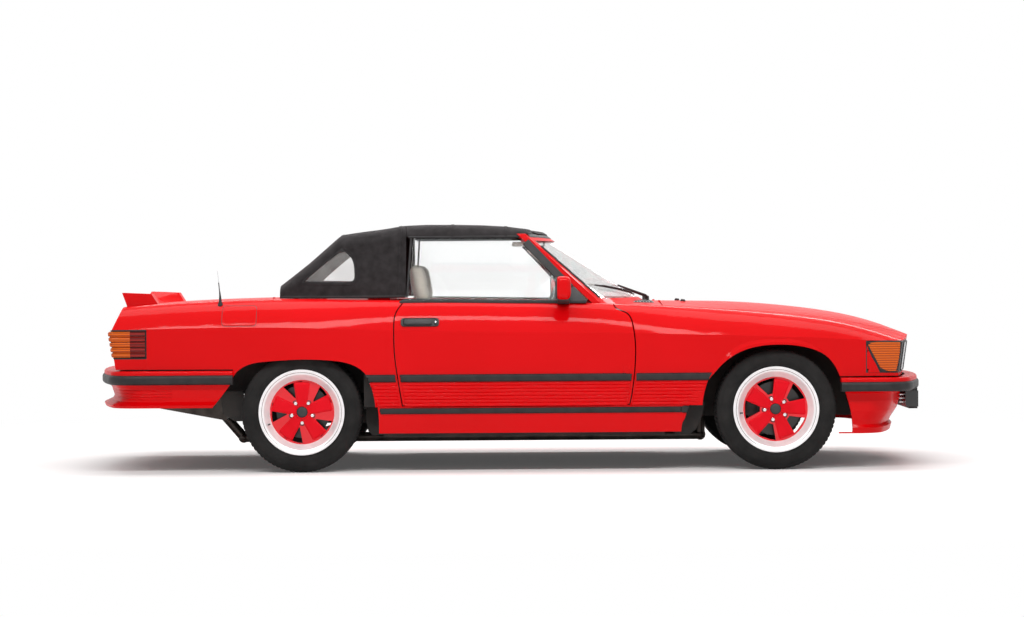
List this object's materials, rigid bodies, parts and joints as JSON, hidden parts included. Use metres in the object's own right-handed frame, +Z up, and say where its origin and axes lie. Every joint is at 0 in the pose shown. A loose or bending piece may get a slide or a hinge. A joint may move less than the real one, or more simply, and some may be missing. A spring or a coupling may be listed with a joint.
{
  "type": "two-seat convertible car",
  "caption": "Two-seat convertible car with its fabric top up, opening doors, bonnet and boot lid, steered front wheels and free rolling wheels.",
  "frame": {"origin": "on the ground under the middle of the car's bounding box", "axes": "+X forward, +Y to the car's left, +Z up"},
  "size_m": [4.41, 2.0192, 1.2902],
  "materials": {
    "body_red": "gloss",
    "black_metal": "satin",
    "under_body": "satin",
    "black_rubber": "matte",
    "tyre_rubber": "matte",
    "wheel_alloy": "satin",
    "lamp_glass": "gloss",
    "tail_red": "gloss",
    "grille_black": "satin",
    "screen_glass": "gloss",
    "clear_pane": "gloss",
    "top_fabric": "matte",
    "seat_leather": "satin",
    "dash_plastic": "matte",
    "steering_plastic": "matte",
    "engine_metal": "satin",
    "radiator_metal": "satin",
    "exhaust_steel": "satin",
    "chassis_metal": "satin",
    "knuckle_metal": "satin"
  },
  "bodies": {
    "body": {"front_wings": "body_red", "rear_quarters": "body_red", "front_panel": "body_red", "headlamps": "lamp_glass", "grille": "grille_black", "cowl": "body_red", "tail_lamps": "tail_red", "tail_panel": "body_red", "well_deck": "body_red", "sills": "body_red", "bumpers": "black_rubber", "bumper_caps": "body_red", "aprons": "body_red", "fog_lamps": "black_metal", "windscreen_frame": "body_red", "windscreen_glass": "screen_glass", "soft_top": "top_fabric", "soft_top_windows": "clear_pane", "body_shell": "under_body", "seats": "seat_leather", "dashboard": "dash_plastic", "engine": "engine_metal", "radiator": "radiator_metal", "exhaust": "exhaust_steel", "front_suspension": "chassis_metal", "rear_suspension": "chassis_metal"},
    "door_right_body": {"door_right": "body_red", "door_glass_right": "screen_glass", "mirror_right": "body_red"},
    "door_left_body": {"door_left": "body_red", "door_glass_left": "screen_glass", "mirror_left": "body_red"},
    "bonnet_body": {"bonnet": "body_red"},
    "boot_body": {"boot_lid": "body_red"},
    "steering_wheel_body": {"steering_wheel": "steering_plastic"},
    "knuckle_right_body": {"knuckle_right": "knuckle_metal"},
    "knuckle_left_body": {"knuckle_left": "knuckle_metal"},
    "wheel_front_right_body": {"tyre_front_right": "tyre_rubber", "wheel_front_right": "wheel_alloy"},
    "wheel_front_left_body": {"tyre_front_left": "tyre_rubber", "wheel_front_left": "wheel_alloy"},
    "wheel_rear_right_body": {"tyre_rear_right": "tyre_rubber", "wheel_rear_right": "wheel_alloy"},
    "wheel_rear_left_body": {"tyre_rear_left": "tyre_rubber", "wheel_rear_left": "wheel_alloy"}
  },
  "joints": [
    {"name": "door_right_swing", "type": "hinge", "parent": "body", "child": "door_right_body", "pos_m": [0.59231, -0.87874, 0.54], "axis": [0, 0, 1], "range_deg": [0, 65]},
    {"name": "door_left_swing", "type": "hinge", "parent": "body", "child": "door_left_body", "pos_m": [0.59231, 0.87874, 0.54], "axis": [0, 0, -1], "range_deg": [0, 65]},
    {"name": "bonnet_swing", "type": "hinge", "parent": "body", "child": "bonnet_body", "pos_m": [0.79908, 0, 0.87], "axis": [0, -1, 0], "range_deg": [0, 50]},
    {"name": "boot_swing", "type": "hinge", "parent": "body", "child": "boot_body", "pos_m": [-1.26468, 0, 0.9], "axis": [0, 1, 0], "range_deg": [0, 60]},
    {"name": "steering_turn", "type": "hinge", "parent": "body", "child": "steering_wheel_body", "pos_m": [0.17987, 0.36963, 0.75999], "axis": [-0.9135, 0, 0.4067], "range_deg": [-525, 525]},
    {"name": "steer_right", "type": "hinge", "parent": "body", "child": "knuckle_right_body", "pos_m": [1.373, -0.68, 0.312], "axis": [0, 0, 1], "range_deg": [-35, 35]},
    {"name": "steer_left", "type": "hinge", "parent": "body", "child": "knuckle_left_body", "pos_m": [1.373, 0.68, 0.312], "axis": [0, 0, 1], "range_deg": [-35, 35]},
    {"name": "wheel_front_right_spin", "type": "hinge", "parent": "knuckle_right_body", "child": "wheel_front_right_body", "pos_m": [1.373, -0.735, 0.312], "axis": [0, 1, 0], "continuous": true},
    {"name": "wheel_front_left_spin", "type": "hinge", "parent": "knuckle_left_body", "child": "wheel_front_left_body", "pos_m": [1.373, 0.735, 0.312], "axis": [0, 1, 0], "continuous": true},
    {"name": "wheel_rear_right_spin", "type": "hinge", "parent": "body", "child": "wheel_rear_right_body", "pos_m": [-1.082, -0.735, 0.312], "axis": [0, 1, 0], "continuous": true},
    {"name": "wheel_rear_left_spin", "type": "hinge", "parent": "body", "child": "wheel_rear_left_body", "pos_m": [-1.082, 0.735, 0.312], "axis": [0, 1, 0], "continuous": true}
  ],
  "couplings": [
    {"joint": "steer_left", "follows": "steering_turn", "ratio": 0.0666},
    {"joint": "steer_right", "follows": "steering_turn", "ratio": 0.0666}
  ]
}
